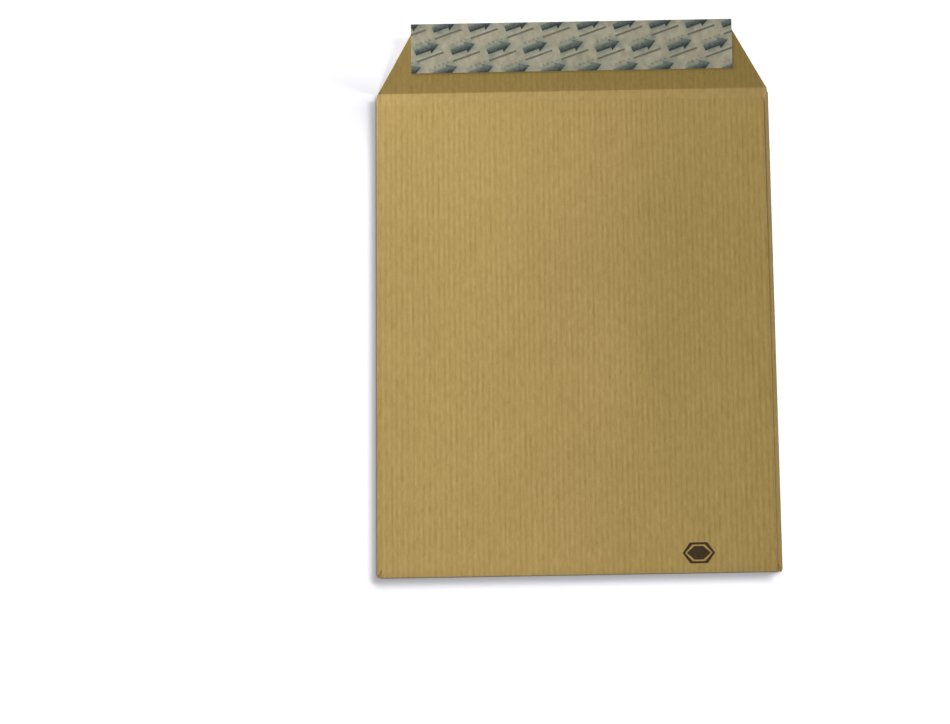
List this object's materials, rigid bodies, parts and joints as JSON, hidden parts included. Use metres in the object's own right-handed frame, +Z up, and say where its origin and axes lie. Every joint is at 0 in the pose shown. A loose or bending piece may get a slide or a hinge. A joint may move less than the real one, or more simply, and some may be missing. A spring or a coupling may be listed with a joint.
{
  "type": "paper envelope",
  "caption": "Brown ribbed kraft pocket envelope, lying on its address side with the tapered peel-and-seal flap open at the short end.",
  "frame": {"origin": "middle of the front (address) panel's underside, on the surface that the envelope lies on", "axes": "+X across the width, +Y along the height towards the open closure flap, +Z up out of the back panel"},
  "size_m": [0.162, 0.2591, 0.0066],
  "materials": {
    "kraft_paper": "matte",
    "dried_glue": "satin",
    "tacky_adhesive": "gloss",
    "siliconised_paper": "satin",
    "blue_ink": "satin",
    "grey_blue_ink": "satin",
    "brown_ink": "matte"
  },
  "bodies": {
    "root": {"envelope": "kraft_paper", "left_seam_glue": "dried_glue", "right_seam_glue": "dried_glue", "sealing_adhesive": "tacky_adhesive", "release_strip": "siliconised_paper", "strip_print_arrows": "blue_ink", "strip_print_lines": "grey_blue_ink", "back_print": "brown_ink"}
  },
  "joints": []
}
